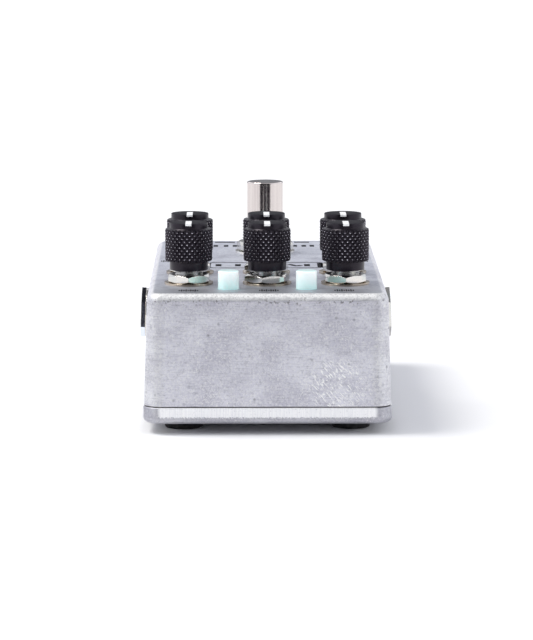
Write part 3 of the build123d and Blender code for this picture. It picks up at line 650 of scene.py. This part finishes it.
def knob_mesh():
    """A knurled knob standing on the origin, bored for its shaft, with its two cuts."""
    rows = round((GRIP_TOP - GRIP_BOTTOM) / KNURL_PITCH * KNURL_STEPS)
    heights = [GRIP_BOTTOM + (GRIP_TOP - GRIP_BOTTOM) * row / rows for row in range(rows + 1)]
    bore = [(SOCKET_TOP, 0), (SOCKET_TOP, SOCKET_RADIUS), (RECESS_TOP, SOCKET_RADIUS)]
    bore += [(RECESS_TOP, RECESS_RADIUS), (0, RECESS_RADIUS)]
    below = [(0, CAP_RADIUS - 0.15), (0.05, CAP_RADIUS - 0.04), (0.15, CAP_RADIUS)]
    below += [(GRIP_BOTTOM - 0.12, CAP_RADIUS), (GRIP_BOTTOM, CAP_RADIUS + 0.12)]
    grip = [(height, grip_ring(height)) for height in heights]
    above = [(GRIP_TOP, CAP_RADIUS + 0.15), (GRIP_TOP + 0.15, CAP_RADIUS)]
    above += [(KNOB_HEIGHT - 0.18, CAP_RADIUS), (KNOB_HEIGHT - 0.05, CAP_RADIUS - 0.05)]
    above += [(KNOB_HEIGHT, CAP_RADIUS - 0.18), (KNOB_HEIGHT, 0)]
    body = turned("knob", bore + below + grip + above, KNURL_COLUMNS * KNURL_STEPS)
    slot_low = (-POINTER_HALF_WIDTH, -GRIP_RADIUS - CUT_CLEAR, POINTER_FLOOR)
    slot_high = (POINTER_HALF_WIDTH, POINTER_END, KNOB_HEIGHT + CUT_CLEAR)
    slot = block("pointer_slot", slot_low, slot_high)
    screw_cutter = rod(SCREW_HOLE_START, GRIP_RADIUS + CUT_CLEAR, SCREW_HOLE_RADIUS)
    screw_hole = turned("screw_hole", screw_cutter, 32)
    lift = Matrix.Translation((0, 0, SCREW_HOLE_HEIGHT * MM))
    screw_hole.transform(lift @ Matrix.Rotation(radians(-90), 4, "X"))
    made = cut(body, [slot, screw_hole])
    for face in made.polygons:
        if face.center.z > (KNOB_HEIGHT - 0.1) * MM:
            face.material_index = 1
        elif face.center.xy.length > (GRIP_RADIUS - TIP_DEPTH) * MM:
            face.material_index = 2
    return made


knob = knob_mesh()
knob_finishes = [slot_finishes["black_anodised"], faced_top(), worn_tips()]
for number in knob_numbers:
    middle = middle_of(f"knob_{number}")
    knob_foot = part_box(f"knob_{number}")[0].z
    placed = moved(knob, Matrix.Translation((middle.x, middle.y, knob_foot)))
    add_piece(
        f"knurled_knob_{number}",
        placed,
        f"knob_{number}_rotor",
        knob_finishes,
        [f"knob_{number}"],
    )


# ---- threaded bushings --------------------------------------------------------------------
THREAD_PITCH = 0.75
THREAD_DEPTH = 0.5 * THREAD_PITCH
THREAD_STEPS = 6  # mesh rows for each turn of thread
THREAD_END = 0.4  # how far a thread's top is turned down
MOUTH = 0.12  # the chamfer of a bushing's bore
SHAFT_BORE = 3.05
POT_THREAD, POT_COLUMNS = 3.5, 32
POT_FLANGE = 1.2
SWITCH_BORE, SWITCH_THREAD, SWITCH_COLUMNS = 4.85, 6.0, 48
JACK_BORE, JACK_THREAD, JACK_COLUMNS = 3.25, 4.5, 40
JACK_FLANGE, JACK_FLANGE_RADIUS = 1.0, 6.2
JACK_INSIDE = 3.2  # from the wall's outside to the flange's inner face
JACK_WASHER = 1.3
JACK_NUT, JACK_NUT_FLATS, JACK_NUT_COLUMNS = 1.27, 11.0, 96
JACK_NUT_BORE, JACK_NUT_MOUTH = 4.55, 0.3
JACK_NUT_CHAMFER, JACK_NUT_RIM = 0.12, 5.0  # the chamfers lie outside the rim's radius


def thread_ring(height, top, major):
    """A thread's outside radius at a height, as a function of the angle, turned down at its top."""
    outline = min(major, major - THREAD_END + (top - height))

    def radius(angle):
        turns = height / THREAD_PITCH - angle / (2 * pi)
        ridge = 1.0 - abs(2.0 * (turns % 1.0) - 1.0)
        return min(outline, major - THREAD_DEPTH * max(0.0, 1.0 - 1.3 * ridge))

    return radius


def thread_rings(bottom, top, bore, major):
    """The rings of a threaded tube, from its bore at the bottom round to its bore at the top."""
    rows = round((top - bottom) / THREAD_PITCH * THREAD_STEPS)
    heights = [bottom + (top - bottom) * row / rows for row in range(rows + 1)]
    outside = [(height, thread_ring(height, top, major)) for height in heights]
    return [(bottom, bore), *outside, (top, bore + MOUTH), (top - MOUTH, bore)]


def joined(name, meshes):
    """One mesh made of several."""
    edited = bmesh.new()
    for mesh in meshes:
        edited.from_mesh(mesh)
    return shade(taken_from(name, edited))


def make_pot_bushings():
    """Each pot's front plate, with the threaded bushing that stands on it."""
    low, high = [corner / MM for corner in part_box("pot_bushings")]
    first = middle_of("knob_1") / MM
    half_width, half_depth = first.x - low.x, first.y - low.y
    shoulder = low.z + POT_FLANGE
    plate = block("plate", (-half_width, -half_depth, low.z), (half_width, half_depth, shoulder))
    bore = turned("bore", rod(low.z - CUT_CLEAR, high.z, SHAFT_BORE), POT_COLUMNS)
    tube = turned("tube", thread_rings(shoulder, high.z, SHAFT_BORE, POT_THREAD), POT_COLUMNS)
    bushing = joined("bushing", [cut(plate, [bore]), tube])
    for number in knob_numbers:
        middle = middle_of(f"knob_{number}")
        placed = moved(bushing, Matrix.Translation((middle.x, middle.y, 0)))
        add_fixed(f"pot_bushing_threaded_{number}", placed, "zinc_steel", "pot_bushings")


def make_switch_bushing():
    """The footswitch's long threaded bushing."""
    low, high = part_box("footswitch_bushing")
    rings = thread_rings(low.z / MM, high.z / MM, SWITCH_BORE, SWITCH_THREAD)
    mesh = turned("switch_bushing", rings, SWITCH_COLUMNS)
    middle = middle_of("footswitch_bushing")
    mesh.transform(Matrix.Translation((middle.x, middle.y, 0)))
    add_fixed("footswitch_bushing_threaded", mesh, "nickel_plate", "footswitch_bushing")


def jack_mount(side):
    """The record's mount of a side jack, on the outside of its sloping wall."""
    return next(mount for mount in frame["record"]["mounts"] if mount["name"] == f"{side}_jack")


def square_to_wall(mount, inwards):
    """The place with +Z out through a mount, that far in from the wall's outside, in millimetres."""
    outwards = Vector(mount["axis"])
    turn = outwards.to_track_quat("Z", "Y").to_matrix().to_4x4()
    return Matrix.Translation(Vector(mount["pos_m"]) - outwards * inwards * MM) @ turn


def make_jack_bushing(side):
    """A side jack's threaded bushing with its inner flange."""
    mount = jack_mount(side)
    length = mount["dims"]["length_mm"]
    rings = [(0, JACK_BORE), (0, JACK_FLANGE_RADIUS), (JACK_FLANGE, JACK_FLANGE_RADIUS)]
    rings += thread_rings(JACK_FLANGE, length, JACK_BORE, JACK_THREAD)[1:]
    mesh = turned("jack_bushing", rings, JACK_COLUMNS)
    mesh.transform(square_to_wall(mount, JACK_INSIDE))
    add_fixed(f"{side}_jack_bushing_threaded", mesh, "nickel_plate", f"{side}_jack_bushing")


def hexagon(flats):
    """The radius of a hexagon as a function of the angle, with a flat facing angle 0."""

    def radius(angle):
        from_flat = (angle + pi / 6) % (pi / 3) - pi / 6
        return flats / 2 / cos(from_flat)

    return radius


def make_jack_nut(side, finishes):
    """A side jack's thin nut, hardly chamfered, with a second finish for its bright edges."""
    outline, edge = hexagon(JACK_NUT_FLATS), hexagon(JACK_NUT_FLATS - 2 * JACK_NUT_CHAMFER)
    low, high = JACK_WASHER, JACK_WASHER + JACK_NUT
    rings = [(low, JACK_NUT_BORE), (low, edge), (low + JACK_NUT_CHAMFER, outline)]
    rings += [(high - JACK_NUT_CHAMFER, outline), (high, edge)]
    rings += [(high, JACK_NUT_BORE + JACK_NUT_MOUTH), (high - JACK_NUT_MOUTH, JACK_NUT_BORE)]
    nut = turned("jack_nut", rings, JACK_NUT_COLUMNS, smooth_below=25)
    for face in nut.polygons:
        from_end = min(face.center.z - low * MM, high * MM - face.center.z)
        if face.center.xy.length > JACK_NUT_RIM * MM and 0 < from_end < JACK_NUT_CHAMFER * MM:
            face.material_index = 1
    nut.transform(square_to_wall(jack_mount(side), 0.0))
    add_piece(f"{side}_jack_nut_thin", nut, "enclosure", finishes, ["jack_nuts"])


make_pot_bushings()
make_switch_bushing()
nickel_plate = slot_finishes["nickel_plate"]
for side, nut_finish in [("input", nickel_plate), ("output", smoked_nickel())]:
    make_jack_bushing(side)
    make_jack_nut(side, [nut_finish, nickel_plate])


# ---- footswitch spring --------------------------------------------------------------------
SPRING_WIRE, SPRING_TURNS = 0.25, 5
SPRING_STEPS, SPRING_CORNERS = 24, 10  # mesh rows for each turn, and corners round the wire


def make_spring():
    """The footswitch's return spring, coiled between its foot and its head."""
    low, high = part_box("footswitch_spring")
    middle = middle_of("footswitch_spring") / MM
    coil_radius = (high.x - low.x) / 2 / MM - SPRING_WIRE
    foot, head = low.z / MM + SPRING_WIRE, high.z / MM - SPRING_WIRE
    rows = []
    edited = bmesh.new()
    for row in range(SPRING_STEPS * SPRING_TURNS + 1):
        turns = row / SPRING_STEPS
        outwards = Vector((cos(2 * pi * turns), sin(2 * pi * turns), 0))
        centre = Vector((middle.x, middle.y, foot + (head - foot) * turns / SPRING_TURNS))
        centre += outwards * coil_radius
        rows.append([])
        for corner in range(SPRING_CORNERS):
            angle = 2 * pi * corner / SPRING_CORNERS
            point = centre + (outwards * cos(angle) + Vector((0, 0, sin(angle)))) * SPRING_WIRE
            rows[-1].append(edited.verts.new(point * MM))
    skin(edited, rows)
    mesh = shade(taken_from("spring", edited), smooth_below=60)
    spring = add_fixed("footswitch_spring_coil", mesh, "zinc_steel", "footswitch_spring")
    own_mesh(spring)


make_spring()


# ---- printed marks ------------------------------------------------------------------------
INK_THICKNESS = 0.03
INK_FOOT = 0.01  # how far the ink reaches down into the plate
TICK_PITCH = 0.55
TICKS = (1.8, 3.2, 2.4, 3.5, 1.8, 3.2, 2.6, 3.5, 2.0)
FRONT_TICKS_Y, SIDE_TICKS_Y = -48.9, 8.5
REAR_LINES_Y, REAR_DASHES_Y = 50.0, 41.6
BAR_HALF_WIDTH, BAR_HALF_DEPTH, BAR_CORNER = 14.6, 5.5, 1.8
WAVE_START, WAVE_STEP, WAVE_HEIGHT = 4.8, 0.42, 1.5


def stroke(edited, points, width):
    """Add a flat printed line along points in millimetres. It closes if its ends meet."""
    closed = points[0] == points[-1]
    path = [Vector((x, y, 0)) for x, y in (points[:-1] if closed else points)]
    rows = []
    for place, point in enumerate(path):
        before = path[place - 1] if closed or place > 0 else point
        after = path[(place + 1) % len(path)] if closed or place + 1 < len(path) else point
        heading = ((point - before).normalized() + (after - point).normalized()).normalized()
        aside = Vector((-heading.y, heading.x, 0)) * width / 2
        base = plate_top / MM - INK_FOOT
        corners = [(point + aside, base), (point - aside, base)]
        corners += [(point - aside, base + INK_THICKNESS), (point + aside, base + INK_THICKNESS)]
        rows.append([edited.verts.new((spot.x * MM, spot.y * MM, z * MM)) for spot, z in corners])
    skin(edited, rows, closed)


def rounded_outline(low, high, radius):
    """The points of a rectangle with round corners, ending where they begin."""
    centres = [(high[0] - radius, high[1] - radius), (low[0] + radius, high[1] - radius)]
    centres += [(low[0] + radius, low[1] + radius), (high[0] - radius, low[1] + radius)]
    points = []
    for quarter, (x, y) in enumerate(centres):
        for step in range(7):
            angle = pi / 2 * (quarter + step / 6)
            points.append((x + radius * cos(angle), y + radius * sin(angle)))
    return [*points, points[0]]


def printed(name, strokes):
    """Put printed lines of (points, width) on the top plate as one piece."""
    edited = bmesh.new()
    for points, width in strokes:
        stroke(edited, points, width)
    bmesh.ops.recalc_face_normals(edited, faces=edited.faces)
    add_piece(name, taken_from(name, edited), "enclosure", [ink], [])


def dash(x, y, length, width=0.36):
    """One short line along Y, as a stroke."""
    return ([(x, y - length / 2), (x, y + length / 2)], width)


def tick_row(x, y, lengths):
    """A row of short lines of different lengths, as under a dial."""
    first = x - TICK_PITCH * (len(lengths) - 1) / 2
    return [dash(first + TICK_PITCH * place, y, length) for place, length in enumerate(lengths)]


ink = printed_ink()
far_corner = (BAR_HALF_WIDTH, BAR_HALF_DEPTH)
near_corner = (-BAR_HALF_WIDTH, -BAR_HALF_DEPTH)
wave = [(WAVE_START + step * WAVE_STEP, WAVE_HEIGHT * sin(step * 0.62)) for step in range(11)]
bar = [(rounded_outline(near_corner, far_corner, BAR_CORNER), 0.8)]
bar += [dash(x, 0.0, 4.2, 1.5) for x in (-12.2, -7.2, 10.6)]
bar += [(wave, 1.3), dash(14.0, 0.0, 8.6, 1.5)]
printed("printed_bar", bar)
rear_spans = [(-13.5, -8.0), (8.1, 12.2)]
rear = [([(start, REAR_LINES_Y), (end, REAR_LINES_Y)], 1.8) for start, end in rear_spans]
rear += [dash(x, REAR_DASHES_Y, 3.6, 1.2) for x in (-13.2, -10.4, -8.0, 8.2, 10.6, 12.8)]
printed("printed_rear_marks", rear)
tick_rows = [tick_row(x, FRONT_TICKS_Y, TICKS) for x in (-19.2, 0.3, 18.6)]
tick_rows += [tick_row(x, SIDE_TICKS_Y, TICKS[:4]) for x in (-26.2, 25.6)]
for number, row in enumerate(tick_rows, start=1):
    printed(f"printed_ticks_{number}", row)


# ---- studio -------------------------------------------------------------------------------
# brightness of the room, of its screens and of what the camera sees past the floor
ROOM = 0.32
SIDE_SCREENS = 0.85
BACK_SCREEN = 0.65
FRONT_SCREEN = 0.9
BACKDROP = 1.1
# sizes and places in metres
FLOOR_REACH = 12.0
FLAG_HALF_WIDTH, FLAG_TOP, FLAG_Y = 0.30, 0.7, -0.42
FLAG_UNSEEN_BY = ("camera", "diffuse", "shadow", "transmission", "volume_scatter")


def add_sheet(name, corners, finish):
    """A flat sheet of the studio between four corners."""
    mesh = bpy.data.meshes.new(name)
    mesh.from_pydata(corners, [], [(0, 1, 2, 3)])
    mesh.materials.append(finish.material)
    return add_object(name, mesh)


def make_floor():
    """One wide white floor."""
    finish = Finish("studio_floor", {"Roughness": 0.9, "Specular IOR Level": 0.0})
    tone = finish.noise(0.002, detail=2.0)
    finish.set("Base Color", finish.mix(tone, rgb(0.90, 0.90, 0.905), rgb(0.93, 0.93, 0.93)))
    reach = FLOOR_REACH
    corners = [(-reach, -reach, 0), (reach, -reach, 0), (reach, reach, 0), (-reach, reach, 0)]
    floor = add_sheet("floor", corners, finish)


def make_flag():
    """A black card in front of the pedal, seen only in its reflections."""
    finish = Finish("black_card", {"Roughness": 1.0, "Specular IOR Level": 0.0})
    finish.set("Base Color", rgb(0.01, 0.01, 0.012))
    corners = [(-FLAG_HALF_WIDTH, FLAG_Y, 0), (FLAG_HALF_WIDTH, FLAG_Y, 0)]
    corners += [(FLAG_HALF_WIDTH, FLAG_Y, FLAG_TOP), (-FLAG_HALF_WIDTH, FLAG_Y, FLAG_TOP)]
    flag = add_sheet("flag", corners, finish)
    for rays in FLAG_UNSEEN_BY:
        setattr(flag, f"visible_{rays}", False)


def make_world():
    """A dim room with broad white screens: left, right, behind the pedal and high in front of it."""
    world = bpy.data.worlds.new("studio")
    world.use_nodes = True
    tree = world.node_tree

    def sum_of(operation, *values):
        """One sum on two or three values."""
        made = tree.nodes.new("ShaderNodeMath")
        made.operation = operation
        for socket, value in zip(made.inputs, values):
            if isinstance(value, bpy.types.NodeSocket):
                tree.links.new(value, socket)
            else:
                socket.default_value = value
        return made.outputs[0]

    def screen(value, begins, full, brightness):
        """Brightness rising smoothly from 0, as a direction's share of an axis goes up."""
        made = tree.nodes.new("ShaderNodeMapRange")
        made.interpolation_type = "SMOOTHSTEP"
        tree.links.new(value, made.inputs["Value"])
        made.inputs["From Min"].default_value = begins
        made.inputs["From Max"].default_value = full
        made.inputs["To Max"].default_value = brightness
        return made.outputs[0]

    direction = tree.nodes.new("ShaderNodeSeparateXYZ")
    tree.links.new(tree.nodes.new("ShaderNodeTexCoord").outputs["Generated"], direction.inputs[0])
    sideways = sum_of("ABSOLUTE", direction.outputs["X"], 0.0)
    backwards, upwards = direction.outputs["Y"], direction.outputs["Z"]
    forwards = sum_of("MULTIPLY", backwards, -1.0)

    beside = screen(sideways, 0.42, 0.66, SIDE_SCREENS)
    strength = sum_of("MULTIPLY_ADD", beside, screen(upwards, -0.1, 0.15, 1.0), ROOM)
    in_front = screen(forwards, 0.1, 0.5, FRONT_SCREEN)
    strength = sum_of("MULTIPLY_ADD", in_front, screen(upwards, 0.5, 0.75, 1.0), strength)
    behind = screen(backwards, 0.3, 0.7, BACK_SCREEN)
    rising, ending = screen(upwards, 0.18, 0.34, 1.0), screen(upwards, 0.55, 0.78, 1.0)
    strength = sum_of("MULTIPLY_ADD", behind, sum_of("SUBTRACT", rising, ending), strength)
    camera_ray = tree.nodes.new("ShaderNodeLightPath").outputs["Is Camera Ray"]
    strength = sum_of("MAXIMUM", strength, screen(camera_ray, 0.0, 1.0, BACKDROP))

    background = tree.nodes["Background"]
    background.inputs["Color"].default_value = rgb(0.92, 0.94, 1.0)
    tree.links.new(strength, background.inputs["Strength"])
    bpy.context.scene.world = world


def make_key():
    """One broad soft light, high on the left."""
    key = bpy.data.lights.new("key", "SUN")
    key.energy = 1.65
    key.angle = radians(24)
    key.color = (1.0, 0.98, 0.95)
    lamp = add_object("key", key)
    towards = Vector((0.47, -0.03, -0.88))
    lamp.rotation_euler = towards.to_track_quat("-Z", "Y").to_euler()


def make_camera():
    """In front of the knob end and a little above it, looking along +Y and slightly down."""
    camera = bpy.data.cameras.new("camera")
    camera.sensor_width = 36.0
    camera.lens = 180.9
    holder = add_object("camera", camera)
    holder.location = (-0.00699, -0.8225, 0.1383)
    pitch, yaw = 0.1427, 0.0087
    forward = Vector((sin(yaw) * cos(pitch), cos(yaw) * cos(pitch), -sin(pitch)))
    holder.rotation_euler = forward.to_track_quat("-Z", "Y").to_euler()
    bpy.context.scene.camera = holder


make_floor()
make_flag()
make_world()
make_key()
make_camera()
bpy.context.scene.view_settings.view_transform = "Standard"
